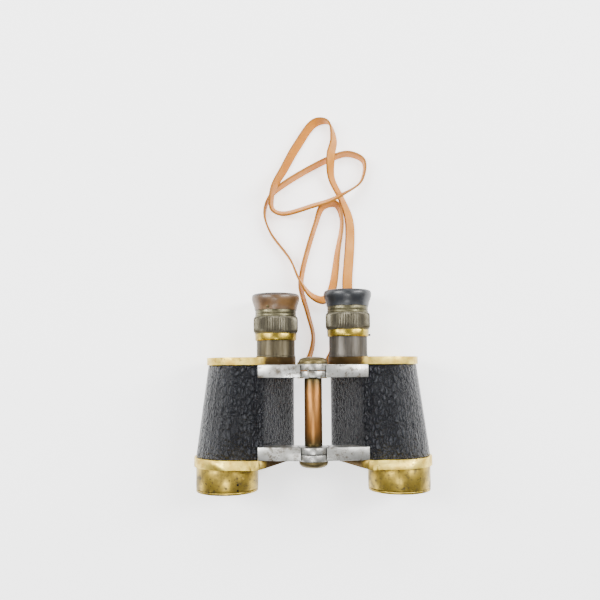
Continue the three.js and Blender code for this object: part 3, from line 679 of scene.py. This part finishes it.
def lug_loop(side, flip):
    """The strap's end, folded round the bar of its lug."""
    lug = middle("right_strap_lug")
    bar_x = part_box("right_strap_lug")[0][0] + LUG_BAR_R
    ring = []
    for step in range(24):
        turn = 2 * math.pi * step / 24
        ring.append((bar_x + LOOP_HALF_X * math.cos(turn), lug.y - STRAP_WIDTH / 2,
                     lug.z + LOOP_HALF_Z * math.sin(turn)))
    bm = bmesh.new()
    _, edges = wire(bm, ring)
    grown = bmesh.ops.extrude_edge_only(bm, edges=edges)["geom"]
    moved = [v for v in grown if isinstance(v, bmesh.types.BMVert)]
    bmesh.ops.translate(bm, vec=(0, STRAP_WIDTH, 0), verts=moved)
    bmesh.ops.recalc_face_normals(bm, faces=bm.faces)
    bmesh.ops.solidify(bm, geom=bm.faces[:], thickness=LOOP_THICKNESS)
    soften(bm, 0.25 * MM, 2, 60)
    uv = bm.loops.layers.uv.new("strip")
    for face in bm.faces:
        for loop in face.loops:
            loop[uv].uv = ((loop.vert.co.y - lug.y) / STRAP_WIDTH + 0.5, 0)
    return piece(f"{side}_strap_loop", bm, STRAP, f"{side}_barrel", "neck_strap", slot="strap_leather",
                 mirrored=flip)


def neck_strap():
    """The strap, in two runs: the first leads from the right barrel's lug to under the right eyepiece."""
    frames = strap_frames()
    seam = round(STRAP_END / STRAP_SPACING)
    lug_end = strap_strip("leather_strap_lug_end", frames[:seam + 1], 0.0)
    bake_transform(lug_end)
    strap = strap_strip("leather_neck_strap", frames[seam:], seam * STRAP_SPACING)
    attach(strap, "left_barrel")
    lug_loop("left", True)
    lug_loop("right", False)


neck_strap()


# ---- the pieces of one barrel --------------------------------------------------------------------------
def leather_cover(side, flip):
    """The leather, glued round the casting between the two end covers."""
    bm = shell(LEATHER_STEP, LEATHER, OBJECTIVE_END + 0.1 * MM, EYE_END - 0.1 * MM, 24)
    soften(bm, 0.3 * MM, 2, 50)
    piece(f"{side}_leather_cover", bm, LEATHER_BLACK, f"{side}_barrel", f"{side}_leather",
          slot="body_leather", mirrored=flip)


def casting(side, flip):
    """The thin casting under the leather."""
    bm = shell(CASTING_INSET, CASTING_WALL, OBJECTIVE_END, EYE_END, 4)
    piece(f"{side}_casting", bm, BLACKENED, f"{side}_barrel", f"{side}_housing", slot="casting_alloy",
          mirrored=flip)


def end_covers(side, flip):
    """The flat cover at the eyepiece end, and the objective end's, which thins towards the hinge."""
    bm = plate(EYE_END, lambda x: EYE_FACE, radius("right_eyepiece_tube") - 1.1 * MM, EYE, EYE_FACE)
    soften(bm, 1.1 * MM, 4, 60)
    piece(f"{side}_eyepiece_end_cover", bm, COVER_BRASS, f"{side}_barrel", f"{side}_ocular_cover",
          slot="cover_brass", mirrored=flip)

    tube_r = radius("right_objective_tube")
    thin = OBJECTIVE_END - 2 * MM
    inner = EYE.x - radius("right_eyepiece_tube")
    full_at = OBJECTIVE.x - tube_r

    def front(x):
        """The front face's place along Y: thin at the hinge, full from the tube outwards."""
        share = min(1, max(0, (x - inner) / (full_at - inner)))
        return thin + (OBJECTIVE_FACE - thin) * share

    bm = plate(OBJECTIVE_END, front, tube_r - 1.8 * MM, OBJECTIVE, OBJECTIVE_FACE)
    soften(bm, 0.9 * MM, 3, 60)
    piece(f"{side}_objective_end_cover", bm, COVER_BRASS, f"{side}_barrel", f"{side}_objective_cover",
          slot="cover_brass", mirrored=flip)


KNUCKLE = 3.9 * MM           # a knuckle's length along the hinge
ARM_HALF = 6 * MM            # half an arm's height where it meets the knuckles
ARM_FOOT = (30 * MM, -11 * MM)    # the arm's lower corners: across from the hinge, and up from its line
ARM_HEEL = (33 * MM, -9 * MM)
WEB_HALF = 4.6 * MM          # half the height of the web between a knuckle and its arm
WEB_STEP = 0.6 * MM          # the web is this much shorter than the knuckle at each end


def hinge_arms(side, flip, holds_axle):
    """Both arms of a casting, squared off where they lie on the leather, and this side's knuckles."""
    inner_start = span("hinge_tube")[1] - HINGE.y + GAP
    own_start = inner_start + (KNUCKLE + GAP if holds_axle else 0)
    bore = radius("hinge_axle") + GAP
    seat_r = KNUCKLE_R + SEAM
    for end in (1, -1):
        where = "eyepiece_end" if end > 0 else "objective_end"
        lip = math.asin(ARM_HALF / seat_r)
        arc = [(seat_r * math.cos(t), HINGE.z + seat_r * math.sin(t))
               for t in (lip - 2 * lip * i / 10 for i in range(11))]
        top = light_middle().y + SHOULDER_R
        sides = arc + [(ARM_FOOT[0], HINGE.z + ARM_FOOT[1]), (ARM_HEEL[0], HINGE.z + ARM_HEEL[1]),
                       (ARM_HEEL[0], top - 0.9 * MM)]
        far = HINGE.y + end * (EYE_END - HINGE.y)
        near = HINGE.y + end * inner_start
        bm = bmesh.new()
        _, edges = wire(bm, [(x, near, z) for x, z in sides])
        face = bmesh.ops.contextual_create(bm, geom=edges)["faces"]
        grown = bmesh.ops.extrude_face_region(bm, geom=face)["geom"]
        moved = [v for v in grown if isinstance(v, bmesh.types.BMVert)]
        bmesh.ops.translate(bm, vec=(0, far - near, 0), verts=moved)
        bmesh.ops.recalc_face_normals(bm, faces=bm.faces)
        soften(bm, 0.35 * MM, 3, 50)
        piece(f"{side}_{where}_arm", bm, ALLOY, f"{side}_barrel", f"{side}_housing", slot="casting_alloy",
              mirrored=flip)

        start, stop = sorted((HINGE.y + end * own_start, HINGE.y + end * (own_start + KNUCKLE)))
        ring = [(bore, start), (KNUCKLE_R, start), (KNUCKLE_R, stop), (bore, stop)]
        bm = turned(ring, HINGE)
        soften(bm, 0.4 * MM, 3, 40)
        web = bmesh.new()
        web_in = bore + 2 * MM
        web_out = seat_r + 2 * MM
        corners = [(web_in, -WEB_HALF), (web_out, -WEB_HALF), (web_out, WEB_HALF), (web_in, WEB_HALF)]
        _, edges = wire(web, [(x, start + WEB_STEP, HINGE.z + z) for x, z in corners])
        face = bmesh.ops.contextual_create(web, geom=edges)["faces"]
        grown = bmesh.ops.extrude_face_region(web, geom=face)["geom"]
        moved = [v for v in grown if isinstance(v, bmesh.types.BMVert)]
        bmesh.ops.translate(web, vec=(0, stop - start - 2 * WEB_STEP, 0), verts=moved)
        piece(f"{side}_{where}_knuckle", bm, ALLOY, f"{side}_barrel", f"{side}_housing",
              slot="casting_alloy", mirrored=flip)
        piece(f"{side}_{where}_web", web, ALLOY, f"{side}_barrel", f"{side}_housing",
              slot="casting_alloy", mirrored=flip)


def objective(side, flip):
    """The turned tube, the rolled ring at its end and the front lens."""
    end, face = span("right_objective_tube")
    tube_r = radius("right_objective_tube")
    bore = tube_r - 1.8 * MM
    seat = end + 9 * MM
    lens_r = bore - 2.4 * MM
    ring_end = span("right_objective_ring")[0]
    profile = [(bore, end), (tube_r, end), (tube_r, face), (lens_r, face), (lens_r, seat), (bore, seat)]
    bm = turned(profile, OBJECTIVE)
    soften(bm, 0.25 * MM, 2)
    piece(f"{side}_objective_barrel", bm, TUBE_BRASS, f"{side}_barrel", f"{side}_objective_tube",
          slot="tube_brass", mirrored=flip)
    lip = end - 0.12 * MM
    profile = [
        (lens_r, ring_end + 0.7 * MM), (lens_r + 0.6 * MM, ring_end + 0.25 * MM),
        (tube_r - 0.9 * MM, ring_end), (tube_r - 0.3 * MM, ring_end + 0.15 * MM),
        (tube_r - 0.1 * MM, ring_end + 0.6 * MM), (tube_r - 0.1 * MM, lip - 0.5 * MM),
        (tube_r - 0.5 * MM, lip), (bore - 0.2 * MM, lip), (bore - 0.2 * MM, end + 3.3 * MM),
        (lens_r, end + 3.3 * MM),
    ]
    bm = turned(profile, OBJECTIVE)
    soften(bm, 0.12 * MM, 2)
    piece(f"{side}_objective_end_ring", bm, TUBE_BRASS, f"{side}_barrel", f"{side}_objective_ring",
          slot="tube_brass", mirrored=flip)
    crown_low, crown_high = span("right_objective_crown")
    face_r = radius("right_objective_crown")
    front_bulge = 1.4 * MM
    back_bulge = 1.2 * MM
    front = [(face_r * i / 12, crown_low + front_bulge * (i / 12) ** 2) for i in range(13)]
    back = [(face_r * i / 12, crown_high - back_bulge * (i / 12) ** 2) for i in range(12, -1, -1)]
    bm = turned(front + back, OBJECTIVE, closed=False)
    piece(f"{side}_crown_lens", bm, GLASS, f"{side}_barrel", f"{side}_objective_crown",
          slot="optical_glass", mirrored=flip)


SCREW_R = 0.62 * MM
SCREW_LENGTH = 1.7 * MM


def grub_screw(name, node, body, lean, stand=0.3 * MM):
    """A small grub screw let into a wall; `stand` moves it outwards from its node's middle."""
    centre = middle(node)
    out = Vector(lean).normalized()
    turn = Vector((0, 0, 1)).rotation_difference(out).to_matrix().to_4x4()
    bm = bmesh.new()
    bmesh.ops.create_cone(bm, cap_ends=True, segments=24, radius1=SCREW_R, radius2=SCREW_R,
                          depth=SCREW_LENGTH)
    soften(bm, 0.15 * MM, 2)
    bmesh.ops.transform(bm, matrix=Matrix.Translation(centre + out * stand) @ turn, verts=bm.verts)
    piece(name, bm, SCREW, body, node, slot="screw_steel")


TEETH = 84                   # ridges of the knurling, and how deep they are cut
TOOTH_DEPTH = 0.42 * MM
CUP_R = 15.4                 # millimetres, the radius that the eyecup's profile is drawn at


def eyepiece(side, flip):
    """The fixed tube, then the band, knurled ring, smooth ring and eyecup that turn on it."""
    head = f"{side}_eyepiece_head"
    tube_r = radius("right_eyepiece_tube")
    low, high = span(f"{side}_eyepiece_tube")
    inner = tube_r - 1.1 * MM
    foot_r = tube_r + 0.35 * MM
    profile = [(inner, low), (foot_r, low), (foot_r, low + 0.9 * MM), (tube_r, low + 1.4 * MM),
               (tube_r, high), (inner, high)]
    bm = turned(profile, EYE)
    soften(bm, 0.15 * MM, 2)
    piece(f"{side}_fixed_tube", bm, LACQUER[side], f"{side}_barrel", f"{side}_eyepiece_tube",
          slot="eyepiece_metal", mirrored=flip)

    band_low, band_high = span(f"{side}_scale_band")
    bore = tube_r + GAP
    grip_r = radius(f"{side}_focus_ring")
    band_r = radius(f"{side}_scale_band") + 0.1 * MM
    profile = [(bore, band_low), (band_r - 0.35 * MM, band_low), (band_r, band_low + 0.7 * MM),
               (band_r + 0.25 * MM, band_high), (bore, band_high)]
    bm = turned(profile, EYE)
    soften(bm, 0.15 * MM, 2, 20)
    piece(f"{side}_brass_band", bm, BAND_BRASS, head, f"{side}_scale_band", slot="cover_brass",
          mirrored=flip)

    grip_low, grip_high = span(f"{side}_focus_ring")
    length = grip_high - grip_low
    crown = [(0.0, -1.1), (0.12, -0.25), (0.2, -0.05), (0.35, 0.0), (0.6, 0.0), (0.85, -0.03),
             (0.96, -0.25), (1.0, -0.6)]
    profile = [(bore, grip_low)]
    profile += [(grip_r + d * MM, grip_low + s * length) for s, d in crown]
    profile += [(bore, grip_high)]
    bm = turned(profile, EYE, steps=4 * TEETH)
    for vert in bm.verts:
        out = Vector((vert.co.x - EYE.x, vert.co.z - EYE.z))
        if out.length < grip_r - 0.5 * MM:
            continue
        turn = math.atan2(out.y, out.x) * TEETH
        cut = TOOTH_DEPTH * (0.5 - 0.5 * math.cos(turn))
        vert.co.x -= out.x / out.length * cut
        vert.co.z -= out.y / out.length * cut
    piece(f"{side}_knurled_ring", bm, KNURL, head, f"{side}_focus_ring", slot="knurled_metal",
          mirrored=flip, sharp=60)

    collar_low, collar_high = span(f"{side}_collar_ring")
    collar_r = radius(f"{side}_collar_ring")
    waist = collar_low + 0.35 * (collar_high - collar_low)
    collar_bore = tube_r - 1.2 * MM
    bead_r = collar_r + 0.15 * MM
    groove_r = collar_r - 0.25 * MM
    profile = [(collar_bore, collar_low), (bead_r, collar_low), (bead_r, waist),
               (groove_r, waist + 0.15 * MM), (groove_r, waist + 0.4 * MM), (collar_r, waist + 0.55 * MM),
               (collar_r, collar_high), (collar_bore, collar_high)]
    bm = turned(profile, EYE)
    soften(bm, 0.1 * MM, 2)
    piece(f"{side}_smooth_ring", bm, OLIVE, head, f"{side}_collar_ring", slot="eyepiece_metal",
          mirrored=flip)

    cup_low, cup_high = span(f"{side}_eyecup")
    cup_r = radius(f"{side}_eyecup")
    throat = 8.4 * MM
    flare = [(13.45, 0.0), (13.6, 0.08), (13.75, 0.2), (14.3, 0.36), (14.95, 0.52), (15.3, 0.66),
             (15.4, 0.78), (15.3, 0.88), (14.9, 0.955), (14.3, 0.99), (13.6, 1.0), (12.9, 0.985),
             (12.4, 0.94), (11.6, 0.7), (10.6, 0.42), (9.8, 0.25), (9.0, 0.19), (8.4, 0.15)]
    scale = cup_r / (CUP_R * MM)
    profile = [(r * MM * scale, cup_low + s * (cup_high - cup_low)) for r, s in flare] + [(throat, cup_low)]
    bm = turned(profile, EYE)
    piece(f"{side}_eyecup_moulding", bm, CUP[side], head, f"{side}_eyecup",
          slot="worn_eyecup" if side == "left" else "black_eyecup", mirrored=flip, sharp=50)


def lens_pair(side, flip):
    """The field lens and the eye lens, rounder towards the eye."""
    back_bulge = 0.2 * MM
    front_bulge = 1.0 * MM
    for node in ("field_lens", "eye_lens"):
        low, high = span(f"{side}_{node}")
        lens_r = radius(f"{side}_{node}")
        back = [(lens_r * i / 10, low + back_bulge * (i / 10) ** 2) for i in range(11)]
        front = [(lens_r * i / 10, high - front_bulge * (i / 10) ** 2) for i in range(10, -1, -1)]
        bm = turned(back + front, EYE, closed=False, steps=64)
        piece(f"{side}_{node}_glass", bm, GLASS, f"{side}_ocular", f"{side}_{node}", slot="optical_glass",
              mirrored=flip)


for side, flip, holds_axle in (("left", True, True), ("right", False, False)):
    leather_cover(side, flip)
    casting(side, flip)
    end_covers(side, flip)
    hinge_arms(side, flip, holds_axle)
    objective(side, flip)
    eyepiece(side, flip)
    lens_pair(side, flip)
    tube = middle(f"{side}_objective_tube")
    for number in (1, 2):
        node = f"{side}_tube_screw_{number}"
        lean = middle(node) - tube
        grub_screw(f"{side}_grub_screw_{number}", node, f"{side}_barrel", (lean.x, 0, lean.z))
    node = f"{side}_stop_screw"
    lean = middle(node) - middle(f"{side}_scale_band")
    grub_screw(f"{side}_focus_stop", node, f"{side}_eyepiece_head", (lean.x, 0, lean.z), stand=-0.1 * MM)


PIN_LEAN = math.radians(19)  # from straight up, away from the hinge
PIN_FROM_AXIS = 13.5 * MM
PIN_FROM_FOOT = 1.6 * MM     # up from the foot of the cup


def eyecup_pin():
    """A bronze pin, which holds the left eyecup to its ring, with a dark plug in its middle as painted shade
    for its hole.
    """
    foot = span("left_eyecup")[0] + PIN_FROM_FOOT
    cup = middle("left_eyecup")
    out = Vector((-math.sin(PIN_LEAN), 0, math.cos(PIN_LEAN)))
    seat = Vector((cup.x, foot, cup.z)) + out * PIN_FROM_AXIS
    turn = Vector((0, 0, 1)).rotation_difference(out).to_matrix().to_4x4()
    for name, material, pin_r, rise in (("left_eyecup_pin", BRONZE, 0.85 * MM, 0.55 * MM),
                                        # painted shade: a dark blued-steel plug stands in the pin's middle
                                        # for the shade in its hole
                                        ("left_eyecup_pin_hole_shade", SCREW, 0.4 * MM, 0.6 * MM)):
        bm = bmesh.new()
        bmesh.ops.create_cone(bm, cap_ends=True, segments=24, radius1=pin_r, radius2=pin_r, depth=2 * rise)
        soften(bm, 0.12 * MM, 2)
        bmesh.ops.transform(bm, matrix=Matrix.Translation(seat + out * 0.1 * MM) @ turn, verts=bm.verts)
        piece(name, bm, material, "left_eyepiece_head", "left_eyecup", slot="hinge_bronze")


eyecup_pin()


# ---- the hinge ----------------------------------------------------------------------------------------
CAP_BORE = 2.7 * MM


def hinge():
    """The bronze tube between the arms, and the domed cap at each end."""
    low, high = span("hinge_tube")
    tube_r = radius("hinge_tube")
    bore = radius("hinge_axle") + GAP
    profile = [(bore, low), (tube_r, low), (tube_r, high), (bore, high)]
    bm = turned(profile, HINGE)
    soften(bm, 0.25 * MM, 2)
    piece("hinge_bronze_tube", bm, BRONZE, "left_barrel", "hinge_tube", slot="hinge_bronze")
    for node, end in (("hinge_top_cap", 1), ("hinge_bottom_cap", -1)):
        low, high = span(node)
        base, crest = (low, high) if end > 0 else (high, low)
        rise = crest - base
        cap_r = radius(node)
        dome = [(CAP_BORE, 0.0), (cap_r, 0.0), (cap_r, 0.3), (cap_r * 0.985, 0.42), (cap_r * 0.93, 0.62),
                (cap_r * 0.82, 0.78), (cap_r * 0.64, 0.91), (cap_r * 0.42, 0.975), (cap_r * 0.2, 0.995),
                (0.0, 1.0), (0.0, 0.5), (CAP_BORE, 0.5)]
        profile = [(r, base + share * rise) for r, share in dome] + [(CAP_BORE, base)]
        bm = turned(profile, HINGE, closed=False)
        piece(f"{node}_dome", bm, CAP, "left_barrel", node, slot="cap_bronze")


hinge()


# ---- finishes of the CAD nodes that stay ---------------------------------------------------------------
def give(node, material):
    """Gives a CAD node a material."""
    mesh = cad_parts[node].data
    mesh.materials.clear()
    mesh.materials.append(material)


for side in ("left", "right"):
    for node in ("objective_flint", "front_prism", "rear_prism"):
        give(f"{side}_{node}", GLASS)
    give(f"{side}_prism_shelf", BLACKENED)
    give(f"{side}_ocular_barrel", BLACKENED)
    give(f"{side}_strap_lug", TUBE_BRASS)
    for node in ("front_prism_clip", "rear_prism_clip"):
        give(f"{side}_{node}", STEEL)
give("hinge_axle", STEEL)
